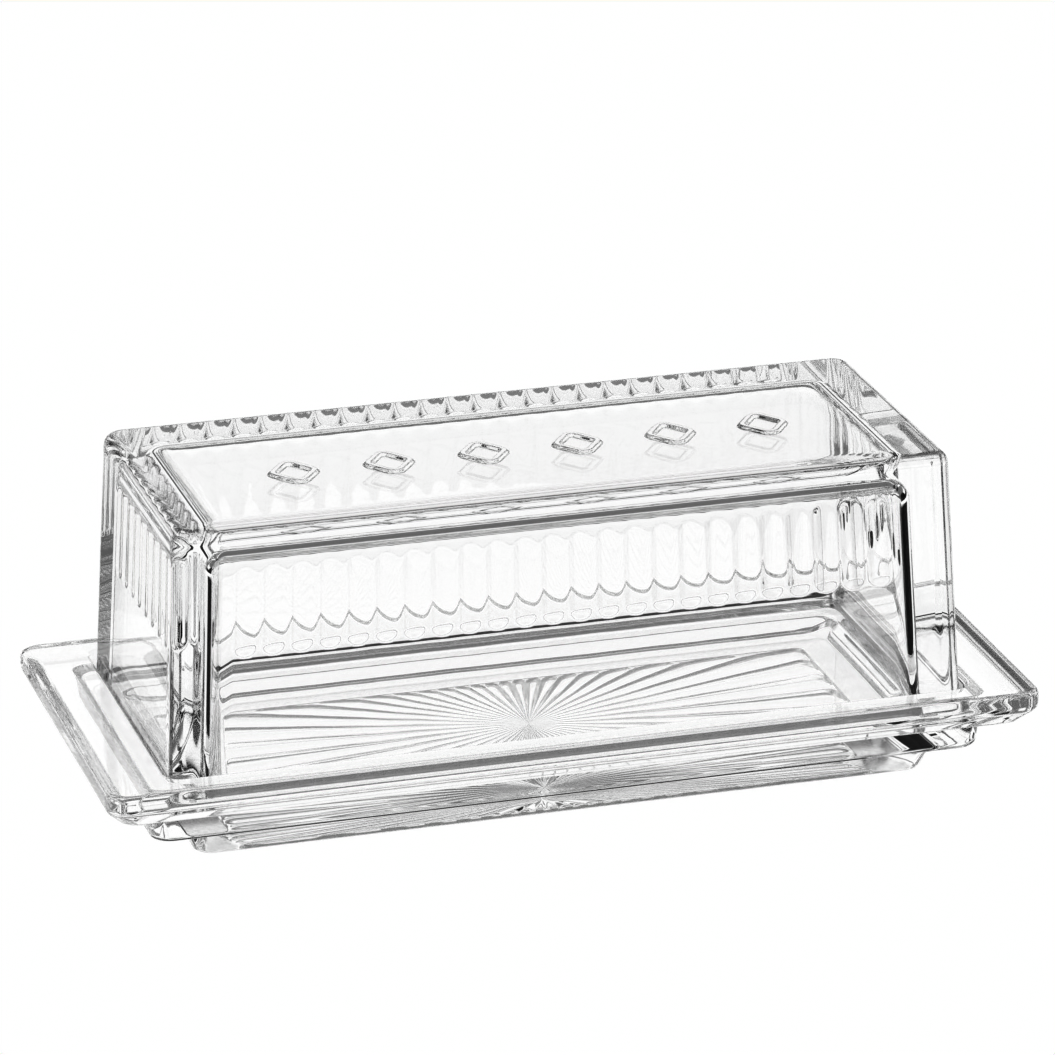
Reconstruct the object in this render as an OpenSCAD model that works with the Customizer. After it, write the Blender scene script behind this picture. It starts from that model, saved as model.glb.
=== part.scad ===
// Covered butter dish in clear pressed glass: a stepped tray and a lift-off cover.
// Origin: middle of the footprint on the table. +X runs along the dish, +Z is up.

/* [Tray] */
// Length of the tray over its rim
tray_l = 197; // [170:1:240]
// Width of the tray over its rim
tray_w = 88; // [76:1:110]
// Height of the rim above the table
tray_h = 20.5; // [18:0.5:26]
// Radius of the rim's corners in plan
tray_corner_r = 3.8; // [3:0.5:8]
// Height of the upright edge of the rim
rim_edge_h = 4; // [2.5:0.5:5]
// Height of the sloping side under that edge
rim_slope_h = 3.7; // [2:0.1:5]
// How far that side slopes in
rim_slope_in = 3.4; // [1:0.1:6]
// Step in from the rim tier to the middle tier, at the ends
mid_in_end = 7.2; // [3:0.1:9]
// Step in from the rim tier to the middle tier, at the sides
mid_in_side = 5.2; // [3:0.1:9]
// Step in from the middle tier to the foot, at the ends
foot_in_end = 8.0; // [3:0.1:10]
// Step in from the middle tier to the foot, at the sides
foot_in_side = 3.8; // [2:0.1:6]
// Height of the foot
foot_h = 6.2; // [4:0.1:8]
// How far the foot tapers in towards the table
foot_taper = 2.3; // [0.5:0.1:4]

/* [Rim, ledge and butter well] */
// Width of the flat rim outside the recess, at the ends
land_end = 13.8; // [8:0.1:16]
// Width of the flat rim outside the recess, at the sides
land_side = 7; // [5:0.1:10]
// Width of the ledge inside the recess, at the ends
ledge_end = 9.7; // [8:0.1:14]
// Width of the ledge inside the recess, at the sides
ledge_side = 12.5; // [8:0.1:15]
// Depth of the well below the ledge that carries the cover
well_d = 2.7; // [2:0.1:6]
// How far each well wall leans out
well_lean = 3; // [1:0.1:5]
// Corner radius of the well
well_r = 4; // [2:0.5:8]

/* [Sunburst under the tray] */
// Number of rays
ray_count = 48; // [24:4:72]
// Depth of the rays
ray_d = 0.5; // [0.3:0.1:1.5]
// Width of the ring that the foot stands on, at the ends
foot_ring_end = 10; // [3:0.1:14]
// Width of that ring, at the sides
foot_ring_side = 5.3; // [3:0.1:10]
// Height of the pressed panel inside the ring above the table
panel_rise = 0.5; // [0.3:0.1:1]
// Radius of the plain middle where the rays die out
hub_r = 6; // [4:0.5:10]
// Share of the circle that the rays take up
ray_share = 0.72; // [0.5:0.02:0.84]

/* [Cover] */
// Height of the cover
cover_h = 55; // [45:0.5:66]
// Draft of each wall from its lower edge to the top
cover_draft = 2.7; // [1:0.1:4]
// Thickness of the end walls
wall_end = 7.5; // [5:0.1:9]
// Thickness of the long walls
wall_side = 6.5; // [5:0.1:8]
// Thickness of the top
top_t = 6.5; // [4:0.1:8]
// Radius of the outer corners and top edges
cover_r = 3.6; // [2:0.1:5]
// Radius of the inside corners and of the ceiling's edge
cavity_r = 5; // [3:0.1:6]
// Depth of the recess that the cover stands in
seat_d = 4.8; // [2:0.1:6]
// Gap round the cover in its recess
seat_gap = 0.6; // [0.3:0.1:1.2]

/* [Reeds inside the cover] */
// Number of reeds on each long wall
reeds_side = 24; // [18:1:28]
// Number of reeds on each end wall
reeds_end = 8; // [6:1:10]
// How far a reed stands out of its wall
reed_d = 0.6; // [0.4:0.1:1.5]
// Plain wall left between two reeds
reed_land = 0.6; // [0.4:0.1:1.5]
// Length of the reeds down from the ceiling
reed_l = 22; // [14:0.5:26]
// Angle at which the lower ends of the reeds are cut back to the wall
reed_end_angle = 45; // [30:5:60]

/* [Raised ornament on top] */
// Number of lozenges in the row
motif_count = 6; // [4:1:8]
// Distance between the middles of two lozenges
motif_pitch = 20; // [14:0.5:22]
// How far the row sits from the middle of the top, towards the front
motif_shift = 5; // [0:0.5:8]
// Length of one lozenge along the dish
motif_l = 12; // [8:0.5:16]
// Width of one lozenge across the dish
motif_w = 17; // [10:0.5:22]
// Width of its raised line
line_w = 2; // [1:0.1:2.5]
// Height of its raised line
line_h = 0.6; // [0.3:0.1:1]

/* [Hidden] */
glass = [0.86, 0.92, 0.92, 0.45];
$fn = 48;
edge_fn = 32;
skin = 0.01;        // thickness of the slices that a hull joins
lap = 0.5;          // how far pieces of one glass body run into each other
seat_l = tray_l - 2 * land_end;
seat_w = tray_w - 2 * land_side;
seat_z = tray_h - seat_d;
cover_l = seat_l - 2 * seat_gap;
cover_w = seat_w - 2 * seat_gap;
well_l = seat_l - 2 * ledge_end - 2 * well_lean;
well_w = seat_w - 2 * ledge_side - 2 * well_lean;
well_z = seat_z - well_d;
top_z = seat_z + cover_h;
ceiling_z = top_z - top_t;
rim_low_z = tray_h - rim_edge_h - rim_slope_h;
rim_low_l = tray_l - 2 * rim_slope_in;
rim_low_w = tray_w - 2 * rim_slope_in;
mid_l = rim_low_l - 2 * mid_in_end;
mid_w = rim_low_w - 2 * mid_in_side;
foot_l = mid_l - 2 * foot_in_end;
foot_w = mid_w - 2 * foot_in_side;
panel_l = foot_l - 2 * foot_taper - 2 * foot_ring_end;
panel_w = foot_w - 2 * foot_taper - 2 * foot_ring_side;
slope = cover_draft / cover_h;
lean_angle = atan(slope);

// Plan outline with rounded corners
module outline(l, w, r) {
    square([l - 2 * r, w], center = true);
    square([l, w - 2 * r], center = true);
    for (x = [-1, 1], y = [-1, 1])
        translate([x * (l / 2 - r), y * (w / 2 - r)]) circle(r);
}

// Upright block with rounded corners, standing on height z
module block(l, w, r, z, h) {
    translate([0, 0, z]) linear_extrude(h) outline(l, w, r);
}

// Block that changes size evenly from low_z to high_z
module tapered(l_low, w_low, low_z, l_high, w_high, high_z, r) {
    hull() {
        block(l_low, w_low, r, low_z, skin, $fn = edge_fn);
        block(l_high, w_high, r, high_z - skin, skin, $fn = edge_fn);
    }
}

function polar(r, a) = r * [cos(a), sin(a)];

// Rays about the middle, pointed at the hub and cut off square at the edge of the panel
module ray_star() {
    reach = norm([panel_l, panel_w]);
    step = 360 / ray_count;
    half_ray = ray_share * step / 2;
    intersection() {
        square([panel_l, panel_w], center = true);
        for (i = [0:ray_count - 1])
            rotate(i * step) polygon([[hub_r, 0], polar(reach, -half_ray), polar(reach, half_ray)]);
    }
}

module tray_tiers() {
    block(tray_l, tray_w, tray_corner_r, tray_h - rim_edge_h, rim_edge_h);
    tapered(rim_low_l, rim_low_w, rim_low_z, tray_l, tray_w, tray_h - rim_edge_h + skin, tray_corner_r);
    block(mid_l, mid_w, tray_corner_r, foot_h, rim_low_z - foot_h + lap);
    tapered(foot_l - 2 * foot_taper, foot_w - 2 * foot_taper, 0, foot_l, foot_w, foot_h + lap, tray_corner_r);
}

module tray() {
    color(glass) difference() {
        tray_tiers();
        block(seat_l, seat_w, cover_r + seat_gap, seat_z, seat_d + lap);
        tapered(well_l, well_w, well_z,
                well_l + 2 * well_lean, well_w + 2 * well_lean, seat_z + skin, well_r);
        translate([0, 0, -lap]) linear_extrude(lap + panel_rise) square([panel_l, panel_w], center = true);
        translate([0, 0, -lap]) linear_extrude(lap + panel_rise + ray_d) ray_star();
    }
}

// Outer form of the cover: drafted walls, round corners and round top edges
module cover_form() {
    hull() {
        block(cover_l, cover_w, cover_r, seat_z, skin, $fn = edge_fn);
        for (x = [-1, 1], y = [-1, 1])
            translate([x * (cover_l / 2 - cover_draft - cover_r), y * (cover_w / 2 - cover_draft - cover_r),
                       top_z - cover_r])
                sphere(cover_r, $fn = edge_fn);
    }
}

function cavity_l(z) = cover_l - 2 * wall_end - 2 * slope * (z - seat_z);
function cavity_w(z) = cover_w - 2 * wall_side - 2 * slope * (z - seat_z);

// Inside of the cover: the walls' draft, round corners and a round edge to the ceiling
module cavity() {
    hull() {
        block(cavity_l(seat_z), cavity_w(seat_z), cavity_r, seat_z - skin, skin, $fn = edge_fn);
        for (x = [-1, 1], y = [-1, 1])
            translate([x * (cavity_l(ceiling_z) / 2 - cavity_r), y * (cavity_w(ceiling_z) / 2 - cavity_r),
                       ceiling_z - cavity_r])
                sphere(cavity_r, $fn = edge_fn);
    }
}

// Row of reeds for one wall, seen in plan along X and standing out towards +Y
module reed_row(count, run) {
    pitch = run / count;
    half_w = (pitch - reed_land) / 2;
    reed_r = (pow(half_w, 2) + pow(reed_d, 2)) / (2 * reed_d);
    for (i = [0:count - 1])
        translate([(i + 0.5) * pitch - run / 2, 0]) intersection() {
            translate([0, reed_d - reed_r]) circle(reed_r);
            translate([-pitch / 2, -lap]) square([pitch, lap + reed_d]);
        }
}

// The same row stood against a wall's inner face, its lower ends cut back to the wall
module reed_panel(count, run) {
    cut = 4 * reed_d;
    rotate([lean_angle, 0, 0]) difference() {
        translate([0, 0, -reed_l]) linear_extrude(reed_l + lap) reed_row(count, run);
        translate([0, 0, -reed_l]) rotate([reed_end_angle, 0, 0])
            translate([-run, -cut, -cut]) cube([2 * run, 2 * cut, cut]);
    }
}

module reeds() {
    run_side = cavity_l(ceiling_z) - 2 * cavity_r;
    run_end = cavity_w(ceiling_z) - 2 * cavity_r;
    for (turn = [0, 180]) {
        rotate(turn) translate([0, -cavity_w(ceiling_z) / 2, ceiling_z]) reed_panel(reeds_side, run_side);
        rotate(turn + 90) translate([0, -cavity_l(ceiling_z) / 2, ceiling_z]) reed_panel(reeds_end, run_end);
    }
}

module lozenge(l, w) {
    polygon([[l / 2, 0], [0, w / 2], [-l / 2, 0], [0, -w / 2]]);
}

// Row of raised lozenge outlines on the flat of the top
module ornament() {
    inner = 1 - 2 * line_w * norm([motif_l, motif_w]) / (motif_l * motif_w);
    for (i = [0:motif_count - 1])
        translate([(i - (motif_count - 1) / 2) * motif_pitch, -motif_shift, top_z - lap])
            linear_extrude(lap + line_h) difference() {
                lozenge(motif_l, motif_w);
                lozenge(motif_l * inner, motif_w * inner);
            }
}

module cover() {
    color(glass) {
        difference() {
            cover_form();
            cavity();
        }
        reeds();
        ornament();
    }
}

tray();
cover();
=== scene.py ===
import math

import bmesh
import bpy
import numpy as np
from mathutils import Matrix, Vector


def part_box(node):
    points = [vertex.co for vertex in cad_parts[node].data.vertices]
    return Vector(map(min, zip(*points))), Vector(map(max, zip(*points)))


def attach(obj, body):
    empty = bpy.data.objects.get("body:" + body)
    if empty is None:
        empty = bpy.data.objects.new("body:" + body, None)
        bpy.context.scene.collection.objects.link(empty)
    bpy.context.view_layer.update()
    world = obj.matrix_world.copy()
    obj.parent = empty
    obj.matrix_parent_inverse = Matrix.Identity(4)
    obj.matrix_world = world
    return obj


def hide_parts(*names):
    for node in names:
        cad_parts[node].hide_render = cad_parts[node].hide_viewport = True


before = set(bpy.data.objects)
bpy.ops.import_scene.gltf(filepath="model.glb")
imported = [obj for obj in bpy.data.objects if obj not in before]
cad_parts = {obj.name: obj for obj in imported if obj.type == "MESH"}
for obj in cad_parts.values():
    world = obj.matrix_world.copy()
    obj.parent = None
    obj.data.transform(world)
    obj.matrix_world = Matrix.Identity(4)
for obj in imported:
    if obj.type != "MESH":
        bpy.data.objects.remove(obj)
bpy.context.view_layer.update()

# ---------------------------------------------------------------------------
# The tray. One pressing of clear soda-lime glass in a cast mould: three tiers
# that step in towards the foot, a flat rim, a shallow recess that the cover
# stands in, and a butter well. A sunburst is pressed into its underside.

mm = 0.001
_, tray_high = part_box("tray")
rim_half_l = tray_high.x / mm
rim_half_w = tray_high.y / mm
rim_top = tray_high.z / mm
rim_corner = 3.8
edge_height = 4.0
slope_height = 3.7
slope_in = 3.4
tier_corner = 3.7
middle_in_ends = 7.2
middle_in_sides = 5.2
foot_corner = 3.5
foot_in_ends = 8.0
foot_in_sides = 3.8
foot_height = 6.2
foot_taper = 2.3
foot_ring_ends = 10.0
foot_ring_sides = 5.3
panel_rise = 0.5
flat_rim_ends = 13.8
flat_rim_sides = 7.0
recess_depth = 4.8
ledge_ends = 9.7
ledge_sides = 12.5
well_depth = 2.7
well_lean = 3.0

ray_count = 48
ray_depth = 0.5
ray_end_length = 3.0
hub_fade = 14.0


def soften(profile, radii, steps=4, guard=0.25):
    """Round each inner corner of a profile, with a short straight run kept beside every bend."""
    points = [profile[0]]
    for before, corner, after, radius in zip(profile, profile[1:], profile[2:], radii):
        back, ahead = before - corner, after - corner
        back_length, ahead_length = np.linalg.norm(back), np.linalg.norm(ahead)
        reach_back = min(radius, 0.42 * back_length)
        reach_ahead = min(radius, 0.42 * ahead_length)
        points.append(corner + back * (reach_back + min(guard, 0.1 * back_length)) / back_length)
        start = corner + back * reach_back / back_length
        end = corner + ahead * reach_ahead / ahead_length
        for t in np.linspace(0, 1, steps + 1):
            points.append((1 - t) ** 2 * start + 2 * t * (1 - t) * corner + t ** 2 * end)
        points.append(corner + ahead * (reach_ahead + min(guard, 0.1 * ahead_length)) / ahead_length)
    points.append(profile[-1])
    return points


def outline_at(bearings, half_l, half_w, corner, height):
    """A rounded rectangle cut along the given bearings from its middle."""
    c, s = np.abs(np.cos(bearings)), np.abs(np.sin(bearings))
    corner = max(min(corner, half_l - 1e-6, half_w - 1e-6), 1e-6)
    straight = np.minimum(half_l / np.maximum(c, 1e-12), half_w / np.maximum(s, 1e-12))
    in_corner = (straight * c > half_l - corner) & (straight * s > half_w - corner)
    along = (half_l - corner) * c + (half_w - corner) * s
    under = along ** 2 - ((half_l - corner) ** 2 + (half_w - corner) ** 2 - corner ** 2)
    reach = np.where(in_corner, along + np.sqrt(np.maximum(under, 0)), straight)
    return np.stack([reach * np.cos(bearings), reach * np.sin(bearings),
                     np.full_like(bearings, height)], -1)


def skin_of(name, rings, cap_ends=True):
    """Join equal closed rings into a skin of quads, in metres."""
    count = len(rings[0])
    points = np.vstack(rings) * mm
    steps = np.arange(count)
    faces = []
    for k in range(len(rings) - 1):
        low, high = k * count, (k + 1) * count
        faces.append(np.stack([low + steps, low + (steps + 1) % count,
                               high + (steps + 1) % count, high + steps], -1))
    faces = [tuple(f) for f in np.vstack(faces).tolist()]
    points = points.tolist()
    if cap_ends:
        for first, turn in ((0, -1), (len(rings) - 1, 1)):
            middle = len(points)
            points.append((rings[first].mean(0) * mm).tolist())
            for j in range(count):
                pair = (first * count + j, first * count + (j + 1) % count)
                faces.append((middle,) + pair[::turn])
    mesh = bpy.data.meshes.new(name)
    mesh.from_pydata(points, [], faces)
    mesh.update()
    return mesh


def point(half_l, half_w, corner, height):
    return np.array([half_l, half_w, corner, height])


slope_top = rim_top - edge_height
slope_low = slope_top - slope_height
tier_l, tier_w = rim_half_l - slope_in, rim_half_w - slope_in
middle_l, middle_w = tier_l - middle_in_ends, tier_w - middle_in_sides
foot_l, foot_w = middle_l - foot_in_ends, middle_w - foot_in_sides
base_l, base_w = foot_l - foot_taper, foot_w - foot_taper
panel_l, panel_w = base_l - foot_ring_ends, base_w - foot_ring_sides
recess_l, recess_w = rim_half_l - flat_rim_ends, rim_half_w - flat_rim_sides
recess_floor = rim_top - recess_depth
well_top_l, well_top_w = recess_l - ledge_ends, recess_w - ledge_sides
well_l, well_w = well_top_l - well_lean, well_top_w - well_lean
well_floor = recess_floor - well_depth

tray_profile = soften(
    [point(panel_l, panel_w, 1.5, panel_rise),
     point(panel_l + 0.5, panel_w + 0.5, 2.0, 0),
     point(base_l, base_w, foot_corner, 0),
     point(foot_l, foot_w, foot_corner, foot_height),
     point(middle_l, middle_w, foot_corner + 0.3, foot_height),
     point(middle_l + 0.7, middle_w + 0.7, tier_corner, slope_low),
     point(tier_l, tier_w, tier_corner, slope_low),
     point(rim_half_l, rim_half_w, rim_corner, slope_top),
     point(rim_half_l, rim_half_w, rim_corner, rim_top),
     point(recess_l + 0.3, recess_w + 0.3, 4.2, rim_top),
     point(recess_l, recess_w, 4.2, recess_floor),
     point(well_top_l, well_top_w, 4.0, recess_floor),
     point(well_l, well_w, 4.0, well_floor),
     point(well_l * 0.9, well_w * 0.9, 3.6, well_floor)],
    [0.3, 1.0, 0.7, 1.2, 0.9, 0.9, 1.0, 1.4, 1.0, 0.5, 0.6, 0.9, 0.9])

bearing_steps = []
for step in range(12 * ray_count):
    bearing = step * math.tau / (12 * ray_count)
    bearing_steps.append(bearing)
    from_axis = math.degrees(abs(math.asin(math.sin(bearing))))
    if 13 < from_axis < 28:
        bearing_steps += [bearing + math.tau / (36 * ray_count), bearing + math.tau / (18 * ray_count)]
bearings = np.array(bearing_steps)

panel_shares = np.concatenate([np.linspace(0.03, 0.86, 12), np.linspace(0.88, 1.0, 14)])
tray_rings = [outline_at(bearings, panel_l * s, panel_w * s, 1.5 * s, panel_rise) for s in panel_shares]
tray_rings += [outline_at(bearings, *p) for p in tray_profile[1:]]
tray_rings += [outline_at(bearings, well_l * s, well_w * s, 4.0 * s, well_floor) for s in (0.6, 0.3, 0.1)]
tray_mesh = skin_of("tray", tray_rings)
pressed = tray_mesh.attributes.new("pressed_panel", "FLOAT", "POINT")
in_panel = np.zeros(len(tray_mesh.vertices), np.float32)
in_panel[:len(panel_shares) * len(bearings)] = 1
in_panel[len(tray_rings) * len(bearings)] = 1
pressed.data.foreach_set("value", in_panel)


def clear_glass(name, seed, worn_below):
    """Fire-polished pressed glass: faintly wavy all over, and scuffed where it stands."""
    finish = bpy.data.materials.new(name)
    finish.use_nodes = True
    nodes, links = finish.node_tree.nodes, finish.node_tree.links
    body = nodes["Principled BSDF"]
    body.inputs["Base Color"].default_value = (1.0, 1.0, 1.0, 1)
    body.inputs["Transmission Weight"].default_value = 1.0
    body.inputs["IOR"].default_value = 1.5
    body.inputs["Specular IOR Level"].default_value = 0.5
    place = nodes.new("ShaderNodeTexCoord")
    shift = nodes.new("ShaderNodeMapping")
    shift.inputs["Location"].default_value = (seed * 0.37, seed * 0.11, seed * 0.23)
    links.new(place.outputs["Object"], shift.inputs["Vector"])

    swell = nodes.new("ShaderNodeTexNoise")
    swell.inputs["Scale"].default_value = 55
    swell.inputs["Detail"].default_value = 1.5
    swell.inputs["Roughness"].default_value = 0.45
    links.new(shift.outputs["Vector"], swell.inputs["Vector"])
    wave = nodes.new("ShaderNodeBump")
    wave.inputs["Strength"].default_value = 1.0
    wave.inputs["Distance"].default_value = 0.00005
    links.new(swell.outputs["Fac"], wave.inputs["Height"])
    links.new(wave.outputs["Normal"], body.inputs["Normal"])

    scuff = nodes.new("ShaderNodeTexNoise")
    scuff.inputs["Scale"].default_value = 900
    scuff.inputs["Detail"].default_value = 4
    links.new(shift.outputs["Vector"], scuff.inputs["Vector"])
    height = nodes.new("ShaderNodeSeparateXYZ")
    links.new(place.outputs["Object"], height.inputs["Vector"])
    near_foot = nodes.new("ShaderNodeMapRange")
    near_foot.inputs["From Min"].default_value = worn_below
    near_foot.inputs["From Max"].default_value = worn_below + 0.0004
    near_foot.inputs["To Min"].default_value = 0.3
    near_foot.inputs["To Max"].default_value = 0.0
    links.new(height.outputs["Z"], near_foot.inputs["Value"])
    worn = nodes.new("ShaderNodeMath")
    worn.operation = "MULTIPLY_ADD"
    worn.inputs[2].default_value = 0.0
    links.new(near_foot.outputs["Result"], worn.inputs[0])
    links.new(scuff.outputs["Fac"], worn.inputs[1])
    links.new(worn.outputs["Value"], body.inputs["Roughness"])
    return finish


tray_glass = clear_glass("tray_clear_glass", 1, 0.0)


class PressTree:
    """A small builder for the geometry trees that shape the glass."""

    def __init__(self, name):
        self.tree = bpy.data.node_groups.new(name, "GeometryNodeTree")
        self.tree.interface.new_socket("Geometry", in_out="INPUT", socket_type="NodeSocketGeometry")
        self.tree.interface.new_socket("Geometry", in_out="OUTPUT", socket_type="NodeSocketGeometry")
        self.start = self.tree.nodes.new("NodeGroupInput")
        self.end = self.tree.nodes.new("NodeGroupOutput")
        self.settings = {}

    def size(self, name, value, kind="NodeSocketFloat"):
        socket = self.tree.interface.new_socket(name, in_out="INPUT", socket_type=kind)
        self.settings[socket.identifier] = value
        return self.start.outputs[name]

    def join(self, source, target):
        if isinstance(source, (int, float)):
            target.default_value = source
        else:
            self.tree.links.new(source, target)

    def calc(self, operation, *values):
        made = self.tree.nodes.new("ShaderNodeMath")
        made.operation = operation
        for value, target in zip(values, made.inputs):
            self.join(value, target)
        return made.outputs[0]

    def attribute(self, name, kind="FLOAT"):
        made = self.tree.nodes.new("GeometryNodeInputNamedAttribute")
        made.data_type = kind
        made.inputs["Name"].default_value = name
        return made.outputs["Attribute"]

    def parts_of(self, vector):
        made = self.tree.nodes.new("ShaderNodeSeparateXYZ")
        self.join(vector, made.inputs[0])
        return made.outputs

    def vector(self, x, y, z):
        made = self.tree.nodes.new("ShaderNodeCombineXYZ")
        for value, target in zip((x, y, z), made.inputs):
            self.join(value, target)
        return made.outputs[0]

    def move(self, geometry, offset):
        made = self.tree.nodes.new("GeometryNodeSetPosition")
        self.join(geometry, made.inputs["Geometry"])
        self.join(offset, made.inputs["Offset"])
        return made.outputs[0]

    def finish(self, geometry, glass):
        real = self.tree.nodes.new("GeometryNodeRealizeInstances")
        coat = self.tree.nodes.new("GeometryNodeSetMaterial")
        self.join(geometry, real.inputs[0])
        self.join(real.outputs[0], coat.inputs["Geometry"])
        self.join(self.size("Glass", glass, "NodeSocketMaterial"), coat.inputs["Material"])
        self.join(coat.outputs[0], self.end.inputs[0])

    def press(self, blank, name):
        """Run the tree on a blank and keep the result as a plain mesh object."""
        holder = bpy.data.objects.new(name + "_blank", blank)
        bpy.context.collection.objects.link(holder)
        modifier = holder.modifiers.new("press", "NODES")
        modifier.node_group = self.tree
        for identifier, value in self.settings.items():
            modifier[identifier] = value
        shaped = holder.evaluated_get(bpy.context.evaluated_depsgraph_get())
        mesh = bpy.data.meshes.new_from_object(shaped)
        holder.modifiers.clear()
        bpy.data.objects.remove(holder)
        piece = bpy.data.objects.new(name, mesh)
        bpy.context.collection.objects.link(piece)
        return piece


def close_and_polish(piece, sharp_angle=math.radians(40)):
    """Merge doubles, turn every face outwards and shade all but the true edges smooth."""
    work = bmesh.new()
    work.from_mesh(piece.data)
    bmesh.ops.remove_doubles(work, verts=work.verts, dist=2e-7)
    bmesh.ops.recalc_face_normals(work, faces=work.faces)
    work.to_mesh(piece.data)
    work.free()
    piece.data.polygons.foreach_set("use_smooth", [True] * len(piece.data.polygons))
    piece.data.set_sharp_from_angle(angle=sharp_angle)
    piece.data.update()


sunburst = PressTree("sunburst")
rays = sunburst.size("Ray count", float(ray_count))
depth = sunburst.size("Ray depth", ray_depth * mm)
half_l = sunburst.size("Panel half length", panel_l * mm)
half_w = sunburst.size("Panel half width", panel_w * mm)
end_length = sunburst.size("Ray end length", ray_end_length * mm)
fade_radius = sunburst.size("Hub fade radius", hub_fade * mm)
here = sunburst.tree.nodes.new("GeometryNodeInputPosition").outputs[0]
x, y, z = sunburst.parts_of(here)
turn = sunburst.calc("MULTIPLY", sunburst.calc("ARCTAN2", y, x), sunburst.calc("DIVIDE", rays, math.tau))
whole_turns = float(ray_count)
place_in_ray = sunburst.calc("FRACT", sunburst.calc("ADD", turn, whole_turns))
off_middle = sunburst.calc("ABSOLUTE", sunburst.calc("SUBTRACT", place_in_ray, 0.5))
across = sunburst.calc("MULTIPLY", off_middle, 2.0)
flute = sunburst.calc("SUBTRACT", 1.0, sunburst.calc("MULTIPLY", across, across))
to_end = sunburst.calc("SUBTRACT", half_l, sunburst.calc("ABSOLUTE", x))
to_side = sunburst.calc("SUBTRACT", half_w, sunburst.calc("ABSOLUTE", y))
nearest_edge = sunburst.calc("MINIMUM", to_end, to_side)
to_edge = sunburst.calc("MINIMUM", 1.0, sunburst.calc("DIVIDE", nearest_edge, end_length))
shortfall = sunburst.calc("SUBTRACT", 1.0, to_edge)
rounded_off = sunburst.calc("SUBTRACT", flute, sunburst.calc("MULTIPLY", shortfall, shortfall))
pointed = sunburst.calc("MAXIMUM", 0.0, rounded_off)
squared = sunburst.calc("ADD", sunburst.calc("MULTIPLY", x, x), sunburst.calc("MULTIPLY", y, y))
radius = sunburst.calc("SQRT", squared)
fade = sunburst.calc("MINIMUM", 1.0, sunburst.calc("DIVIDE", radius, fade_radius))
faded = sunburst.calc("MULTIPLY", sunburst.calc("MULTIPLY", pointed, fade), depth)
lift = sunburst.calc("MULTIPLY", faded, sunburst.attribute("pressed_panel"))
raised = sunburst.move(sunburst.start.outputs["Geometry"], sunburst.vector(0.0, 0.0, lift))
sunburst.finish(raised, tray_glass)
tray = sunburst.press(tray_mesh, "glass_tray")
close_and_polish(tray)
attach(tray, "tray")
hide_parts("tray")

# ---------------------------------------------------------------------------
# The cover. A thick pressed box of the same glass with drafted walls, open
# below. Rounded reeds run down its inside from the ceiling and end in domes,
# and a row of raised lozenges stands on its top.

cover_low, cover_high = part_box("cover")
lozenge_rise = 0.6
cover_base = cover_low.z / mm
cover_top = cover_high.z / mm - lozenge_rise
cover_half_l = cover_high.x / mm
cover_half_w = cover_high.y / mm
draft = 2.7
wall_ends = 7.5
wall_sides = 6.5
crown = 6.5
lip_gap = 0.15
outer_corner = 4.2
inner_corner = 5.2
top_edge_radius = 2.8
ceiling_radius = 5.0
reeds_long = 24
reeds_short = 8
reed_depth = 0.6
reed_land = 0.3
valley_softness = 0.12
reed_end = 42.2
ceiling = cover_top - crown

steps_per_reed = 12
steps_per_corner = 9


def wall_columns():
    """Every upright column of the shell: which wall, how far along it, and its place on a reed."""
    columns = []
    for side, reeds in enumerate((reeds_short, reeds_long, reeds_short, reeds_long)):
        steps = reeds * steps_per_reed
        for k in range(steps + 1):
            columns.append((side, k / steps, False, abs((k / steps_per_reed) % 1 - 0.5) * 2))
        for k in range(1, steps_per_corner):
            columns.append((side, k / steps_per_corner, True, 1.0))
    return columns


columns = wall_columns()


def facing(side, share, in_corner):
    angle = math.radians(90 * side + (90 * share if in_corner else 0))
    return math.cos(angle), math.sin(angle)


column_facing = np.array([facing(side, share, bend) for side, share, bend, _ in columns])
column_across = np.array([across for *_, across in columns])


def box_ring(half_l, half_w, corner, height):
    """One level of the shell, with its columns where the reeds need them."""
    ends = [(half_l - corner, half_w - corner), (corner - half_l, half_w - corner),
            (corner - half_l, corner - half_w), (half_l - corner, corner - half_w)]
    ring = []
    for (side, share, bend, _), out in zip(columns, column_facing):
        centre, previous = np.array(ends[side]), np.array(ends[side - 1])
        base = centre if bend else previous + (centre - previous) * share
        ring.append(base + out * corner)
    ring = np.array(ring)
    return np.column_stack([ring, np.full(len(ring), height)])


def drafted(height):
    share = (height - cover_base) / (cover_top - cover_base)
    return cover_half_l - draft * share, cover_half_w - draft * share


def outer_level(height):
    l, w = drafted(height)
    return box_ring(l, w, outer_corner, height)


def inner_level(height):
    l, w = drafted(height)
    return box_ring(l - wall_ends, w - wall_sides, inner_corner, height)


inner_heights = np.concatenate([
    ceiling - ceiling_radius * (1 - np.sin(np.linspace(math.pi / 2, 0, 11))),
    np.linspace(ceiling - ceiling_radius, reed_end + 4.2, 9)[1:],
    np.linspace(reed_end + 4.0, reed_end - 0.4, 16),
    np.linspace(reed_end - 1.2, cover_base + 1.4, 6)])
ceiling_l, ceiling_w = np.array(drafted(ceiling)) - (wall_ends, wall_sides) - ceiling_radius
shell_rings = [box_ring(ceiling_l * s, ceiling_w * s, (inner_corner - ceiling_radius) * s, ceiling)
               for s in (0.1, 0.4, 0.8, 0.97)]
first_reeded = len(shell_rings)
shell_rings += [inner_level(h) for h in inner_heights]
last_reeded = len(shell_rings)
base_l_in, base_w_in = np.array(drafted(cover_base)) - (wall_ends, wall_sides)
base_l_out, base_w_out = drafted(cover_base)
foot_round = 0.9
lip = cover_base + lip_gap + foot_round
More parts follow.
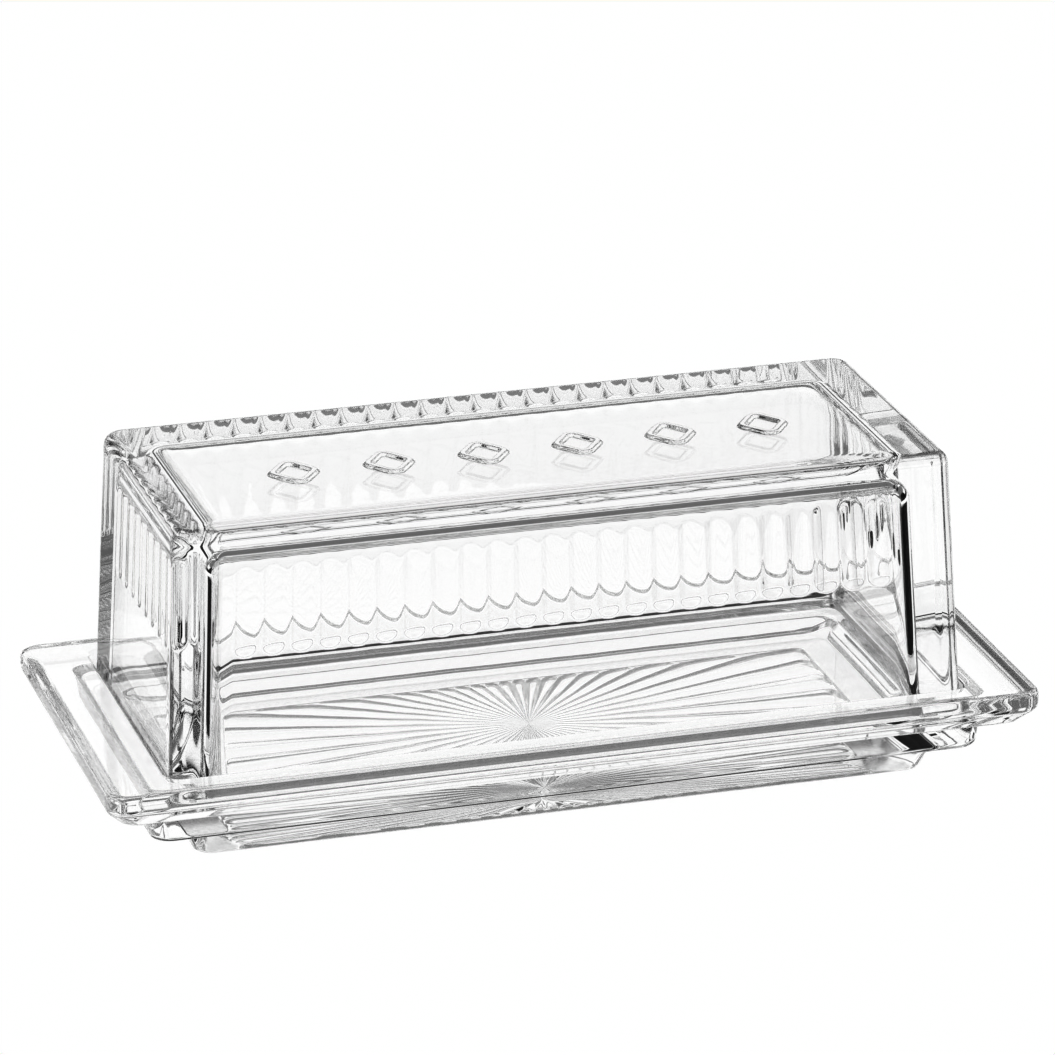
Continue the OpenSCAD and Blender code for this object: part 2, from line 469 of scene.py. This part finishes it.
for a in np.linspace(0, 1, 6) * math.pi / 2:
    inset = foot_round * (1 - math.cos(a))
    shell_rings.append(box_ring(base_l_in + inset, base_w_in + inset, inner_corner + inset,
                                lip - foot_round * math.sin(a)))
for a in np.linspace(1, 0, 6) * math.pi / 2:
    inset = foot_round * (1 - math.cos(a))
    shell_rings.append(box_ring(base_l_out - inset, base_w_out - inset, outer_corner - inset,
                                lip - foot_round * math.sin(a)))
shell_rings += [outer_level(h) for h in np.linspace(cover_base + 1.6, cover_top - top_edge_radius - 0.4, 9)]
edge_l, edge_w = drafted(cover_top - top_edge_radius)
for a in np.linspace(0, math.pi / 2, 10):
    inset = top_edge_radius * (1 - math.cos(a))
    shell_rings.append(box_ring(edge_l - inset, edge_w - inset, outer_corner - inset,
                                cover_top - top_edge_radius * (1 - math.sin(a))))
flat_l, flat_w = edge_l - top_edge_radius, edge_w - top_edge_radius
shell_rings.append(box_ring(flat_l - 0.4, flat_w - 0.4, outer_corner - top_edge_radius, cover_top))
shell_mesh = skin_of("cover", shell_rings, cap_ends=False)

lozenge_count = 6
lozenge_pitch = 20.0
lozenge_forward = 5.0
lozenge_l = 12.0
lozenge_w = 17.0
lozenge_corner = 1.6
line_half = 1.1
tile_w = 22.0
tile_steps_l = 10
tile_steps_w = 11


def run_of(start, end, steps):
    return [np.array(start) + (np.array(end) - np.array(start)) * k / steps for k in range(steps)]


def rectangle(half_l, half_w, steps_l, steps_w, middle=(0, 0)):
    corners = [(-half_l, -half_w), (half_l, -half_w), (half_l, half_w), (-half_l, half_w)]
    loop = []
    for k, steps in enumerate((steps_l, steps_w, steps_l, steps_w)):
        loop += run_of(corners[k], corners[(k + 1) % 4], steps)
    return [p + np.array(middle) for p in loop]


def add_loop(work, loop, height):
    verts = [work.verts.new((p[0] * mm, p[1] * mm, height * mm)) for p in loop]
    return verts


def bridge(work, inside, outside):
    for k in range(len(inside)):
        work.faces.new((inside[k], outside[k], outside[k - 1], inside[k - 1]))


def fill_between(work, *loops):
    edges = []
    for verts in loops:
        for k in range(len(verts)):
            edge = work.edges.get((verts[k - 1], verts[k]))
            edges.append(edge or work.edges.new((verts[k - 1], verts[k])))
    bmesh.ops.triangle_fill(work, use_beauty=True, use_dissolve=False, edges=edges)


row_half_l = lozenge_count * lozenge_pitch / 2
top = bmesh.new()
top.from_mesh(shell_mesh)
top.verts.ensure_lookup_table()
ring_size = len(columns)
first_ring = [top.verts[k] for k in range(ring_size)]
rim_ring = [top.verts[(len(shell_rings) - 1) * ring_size + k] for k in range(ring_size)]
top.faces.new(first_ring)
hole = add_loop(top, rectangle(row_half_l, tile_w / 2, tile_steps_l * lozenge_count, tile_steps_w,
                               (0, -lozenge_forward)), cover_top)
fill_between(top, rim_ring, hole)
top.to_mesh(shell_mesh)
top.free()

across_reed = shell_mesh.attributes.new("across_reed", "FLOAT", "POINT")
reeded_wall = shell_mesh.attributes.new("reeded_wall", "FLOAT", "POINT")
wall_facing = shell_mesh.attributes.new("wall_facing", "FLOAT_VECTOR", "POINT")
total = len(shell_mesh.vertices)
value = np.ones(total, np.float32)
value[:ring_size * len(shell_rings)] = np.tile(column_across, len(shell_rings))
across_reed.data.foreach_set("value", value)
value = np.zeros(total, np.float32)
value[first_reeded * ring_size:last_reeded * ring_size] = 1
reeded_wall.data.foreach_set("value", value)
value = np.zeros((total, 3), np.float32)
value[:ring_size * len(shell_rings), :2] = np.tile(column_facing, (len(shell_rings), 1))
wall_facing.data.foreach_set("vector", value.ravel())


def lozenge_line(offset, steps=14):
    """The lozenge's outline moved outwards by offset, with its corners rounded."""
    slant = math.hypot(lozenge_l, lozenge_w)
    quarters = ((1, 1), (-1, 1), (-1, -1), (1, -1))
    normals = [np.array([sx * lozenge_w, sy * lozenge_l]) / slant for sx, sy in quarters]
    reach = lozenge_l * lozenge_w / (2 * slant)
    corners = [np.array([0, 1]) * (slant / lozenge_l), np.array([-1, 0]) * (slant / lozenge_w),
               np.array([0, -1]) * (slant / lozenge_l), np.array([1, 0]) * (slant / lozenge_w)]
    loop = []
    inner_reach = reach - line_half - lozenge_corner
    for k in range(4):
        centre = corners[k] * inner_reach
        a0, a1 = math.atan2(*normals[k][::-1]), math.atan2(*normals[(k + 1) % 4][::-1])
        if a1 < a0:
            a1 += math.tau
        for a in np.linspace(a0, a1, steps // 2 + 1):
            loop.append(centre + (lozenge_corner + offset) * np.array([math.cos(a), math.sin(a)]))
        following = corners[(k + 1) % 4] * inner_reach
        last = loop[-1]
        first = following + (lozenge_corner + offset) * np.array([math.cos(a1), math.sin(a1)])
        loop += run_of(last, first, steps)[1:]
    return loop


cover_glass = clear_glass("cover_clear_glass", 2, cover_base * mm)
tile = bmesh.new()
border = add_loop(tile, rectangle(lozenge_pitch / 2, tile_w / 2, tile_steps_l, tile_steps_w), 0)
loops = []
line_reach = 1.3
line_flat = 0.35
line_flank = 0.75
for share in np.linspace(line_reach, -line_reach, 17):
    down_flank = min(1, max(0, (abs(share) - line_flat) / line_flank))
    rise = lozenge_rise * (0.5 + 0.5 * math.cos(math.pi * down_flank))
    loops.append(add_loop(tile, lozenge_line(share * line_half), rise))
fill_between(tile, border, loops[0])
for outside, inside in zip(loops, loops[1:]):
    bridge(tile, inside, outside)
fill_between(tile, loops[-1])
tile_mesh = bpy.data.meshes.new("lozenge")
bmesh.ops.recalc_face_normals(tile, faces=tile.faces)
tile.to_mesh(tile_mesh)
tile.free()
tile_blank = bpy.data.objects.new("lozenge_blank", tile_mesh)
bpy.context.collection.objects.link(tile_blank)

reeding = PressTree("reeds_and_lozenges")
reed_rise = reeding.size("Reed depth", reed_depth * mm)
end_height = reeding.size("Reed end height", reed_end * mm)
ceiling_height = reeding.size("Ceiling height", ceiling * mm)
ceiling_round = reeding.size("Ceiling radius", ceiling_radius * mm)
half_pitch = (cover_half_l - wall_ends - inner_corner - draft) / reeds_long
reed_half = reeding.size("Reed half width", (half_pitch - reed_land) * mm)
softness = reeding.size("Valley softness", valley_softness * mm)
pitch_half = reeding.size("Reed half pitch", half_pitch * mm)
row_count = reeding.size("Lozenge count", lozenge_count, "NodeSocketInt")
row_pitch = reeding.size("Lozenge pitch", lozenge_pitch * mm)
first_lozenge = (-(row_half_l - lozenge_pitch / 2) * mm, -lozenge_forward * mm, cover_top * mm)
row_start = reeding.size("Row start", first_lozenge, "NodeSocketVector")
motif = reeding.size("Lozenge", tile_blank, "NodeSocketObject")
here = reeding.tree.nodes.new("GeometryNodeInputPosition").outputs[0]
height = reeding.parts_of(here)[2]
share = reeding.attribute("across_reed")
half_squared = reeding.calc("MULTIPLY", reed_half, reed_half)
rise_squared = reeding.calc("MULTIPLY", reed_rise, reed_rise)
arc_radius = reeding.calc("DIVIDE", reeding.calc("ADD", half_squared, rise_squared),
                          reeding.calc("MULTIPLY", reed_rise, 2.0))
dome_start = reeding.calc("ADD", end_height, reed_half)
below = reeding.calc("MAXIMUM", 0.0, reeding.calc("SUBTRACT", dome_start, height))
aside = reeding.calc("MULTIPLY", share, pitch_half)
away_squared = reeding.calc("ADD", reeding.calc("MULTIPLY", aside, aside),
                            reeding.calc("MULTIPLY", below, below))
radius_squared = reeding.calc("MULTIPLY", arc_radius, arc_radius)
under_arc = reeding.calc("MAXIMUM", 0.0, reeding.calc("SUBTRACT", radius_squared, away_squared))
arc_middle = reeding.calc("SUBTRACT", arc_radius, reed_rise)
arc = reeding.calc("MAXIMUM", 0.0, reeding.calc("SUBTRACT", reeding.calc("SQRT", under_arc), arc_middle))
soft_share = reeding.calc("DIVIDE", arc, reeding.calc("ADD", arc, softness))
soft_arc = reeding.calc("MULTIPLY", arc, soft_share)
bend_start = reeding.calc("SUBTRACT", ceiling_height, ceiling_round)
into_bend = reeding.calc("MAXIMUM", 0.0, reeding.calc("SUBTRACT", height, bend_start))
round_squared = reeding.calc("MULTIPLY", ceiling_round, ceiling_round)
bend_squared = reeding.calc("SUBTRACT", round_squared, reeding.calc("MULTIPLY", into_bend, into_bend))
bend_reach = reeding.calc("SQRT", reeding.calc("MAXIMUM", 0.0, bend_squared))
bend = reeding.calc("SUBTRACT", ceiling_round, bend_reach)
on_wall = reeding.attribute("reeded_wall")
proud = reeding.calc("MULTIPLY", reeding.calc("MAXIMUM", soft_arc, bend), on_wall)
inward = reeding.tree.nodes.new("ShaderNodeVectorMath")
inward.operation = "SCALE"
reeding.join(reeding.attribute("wall_facing", "FLOAT_VECTOR"), inward.inputs[0])
reeding.join(reeding.calc("MULTIPLY", proud, -1.0), inward.inputs["Scale"])
reeded = reeding.move(reeding.start.outputs["Geometry"], inward.outputs[0])
row = reeding.tree.nodes.new("GeometryNodeMeshLine")
reeding.join(row_count, row.inputs["Count"])
reeding.join(row_start, row.inputs["Start Location"])
reeding.join(reeding.vector(row_pitch, 0.0, 0.0), row.inputs["Offset"])
motif_info = reeding.tree.nodes.new("GeometryNodeObjectInfo")
reeding.join(motif, motif_info.inputs["Object"])
placed = reeding.tree.nodes.new("GeometryNodeInstanceOnPoints")
reeding.join(row.outputs[0], placed.inputs["Points"])
reeding.join(motif_info.outputs["Geometry"], placed.inputs["Instance"])
joined = reeding.tree.nodes.new("GeometryNodeJoinGeometry")
reeding.join(placed.outputs[0], joined.inputs[0])
reeding.join(reeded, joined.inputs[0])
reeding.finish(joined.outputs[0], cover_glass)
cover = reeding.press(shell_mesh, "glass_cover")
bpy.data.objects.remove(tile_blank)
close_and_polish(cover)
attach(cover, "cover")
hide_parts("cover")

# ---------------------------------------------------------------------------
# The table top, the light and the camera. A pale sweep under the dish in a
# white room. The glass alone also sees dark boards, which draw its edges; they
# leave a slot at the horizon, so that it stays clear from low down.

sweep_radius = 0.16
sweep_gap = 0.0002
bpy.ops.mesh.primitive_circle_add(vertices=96, radius=sweep_radius, fill_type="NGON",
                                  location=(0, 0, -sweep_gap))
table_top = bpy.context.object
table_top.name = "table_top"
sweep = bpy.data.materials.new("pale_sweep")
sweep.use_nodes = True
sweep.node_tree.nodes.clear()
glow = sweep.node_tree.nodes.new("ShaderNodeEmission")
sweep_out = sweep.node_tree.nodes.new("ShaderNodeOutputMaterial")
sweep.node_tree.links.new(glow.outputs[0], sweep_out.inputs[0])
table_top.data.materials.append(sweep)

scene = bpy.context.scene
room = bpy.data.worlds.new("studio")
scene.world = room
room.use_nodes = True
room_nodes, room_links = room.node_tree.nodes, room.node_tree.links
room_nodes.clear()
way = room_nodes.new("ShaderNodeTexCoord")
way_parts = room_nodes.new("ShaderNodeSeparateXYZ")
room_links.new(way.outputs["Generated"], way_parts.inputs[0])


def board_ramp(direction, stops):
    """Brightness of the room along one axis, as (level from -1 to 1, light) stops."""
    spread = room_nodes.new("ShaderNodeMapRange")
    spread.inputs["From Min"].default_value = -1
    room_links.new(direction, spread.inputs["Value"])
    made = room_nodes.new("ShaderNodeValToRGB")
    room_links.new(spread.outputs["Result"], made.inputs["Fac"])
    ramp = made.color_ramp
    ramp.elements.remove(ramp.elements[-1])
    for k, (level, light) in enumerate(stops):
        stop = ramp.elements[0] if k == 0 else ramp.elements.new((level + 1) / 2)
        stop.position = (level + 1) / 2
        stop.color = (light, light, light, 1)
    return made.outputs["Color"]


def combined(blend, first, second):
    made = room_nodes.new("ShaderNodeMix")
    made.data_type = "RGBA"
    made.blend_type = blend
    made.inputs["Factor"].default_value = 1
    room_links.new(first, made.inputs[6])
    room_links.new(second, made.inputs[7])
    return made.outputs[2]


height_boards = ((-1.0, 1.0), (-0.45, 1.0), (-0.33, 0.93), (-0.12, 1.0), (0.04, 1.0), (0.06, 0.0),
                 (0.2, 0.0), (0.24, 1.0), (0.45, 1.0), (0.5, 0.3))
side_boards = ((-1.0, 0.0), (-0.84, 0.0), (-0.78, 1.0), (0.78, 1.0), (0.84, 0.0))
open_slot = ((-1.0, 0.0), (-0.2, 0.0), (-0.16, 1.0), (0.04, 1.0), (0.06, 0.0))
sides = combined("LIGHTEN", board_ramp(way_parts.outputs["X"], side_boards),
                 board_ramp(way_parts.outputs["Z"], open_slot))
boards = combined("MULTIPLY", board_ramp(way_parts.outputs["Z"], height_boards), sides)
seen = room_nodes.new("ShaderNodeLightPath")
choose = room_nodes.new("ShaderNodeMix")
choose.data_type = "RGBA"
room_links.new(seen.outputs["Is Camera Ray"], choose.inputs["Factor"])
room_links.new(boards, choose.inputs[6])
choose.inputs[7].default_value = (1, 1, 1, 1)
backdrop = room_nodes.new("ShaderNodeBackground")
room_out = room_nodes.new("ShaderNodeOutputWorld")
room_links.new(choose.outputs[2], backdrop.inputs["Color"])
room_links.new(backdrop.outputs[0], room_out.inputs["Surface"])

scene.view_settings.view_transform = "Standard"
scene.view_settings.gamma = 0.5
scene.cycles.max_bounces = 24
scene.cycles.transmission_bounces = 24
scene.cycles.glossy_bounces = 16

camera_bearing = -0.284
camera_rise = 0.352
camera_distance = 1.27406
camera_roll = -0.006
camera_aim = Vector((0.00072, 0, 0.05167))
back = Vector((math.sin(camera_bearing) * math.cos(camera_rise),
               -math.cos(camera_bearing) * math.cos(camera_rise), math.sin(camera_rise)))
lens = bpy.data.cameras.new("camera")
camera = bpy.data.objects.new("camera", lens)
bpy.context.collection.objects.link(camera)
facing_dish = back.to_track_quat("Z", "Y").to_matrix().to_4x4()
camera.matrix_world = (Matrix.Translation(camera_aim + back * camera_distance)
                       @ facing_dish @ Matrix.Rotation(camera_roll, 4, "Z"))
lens.sensor_width = 36
lens.lens = 210.6
lens.clip_end = 50
scene.camera = camera
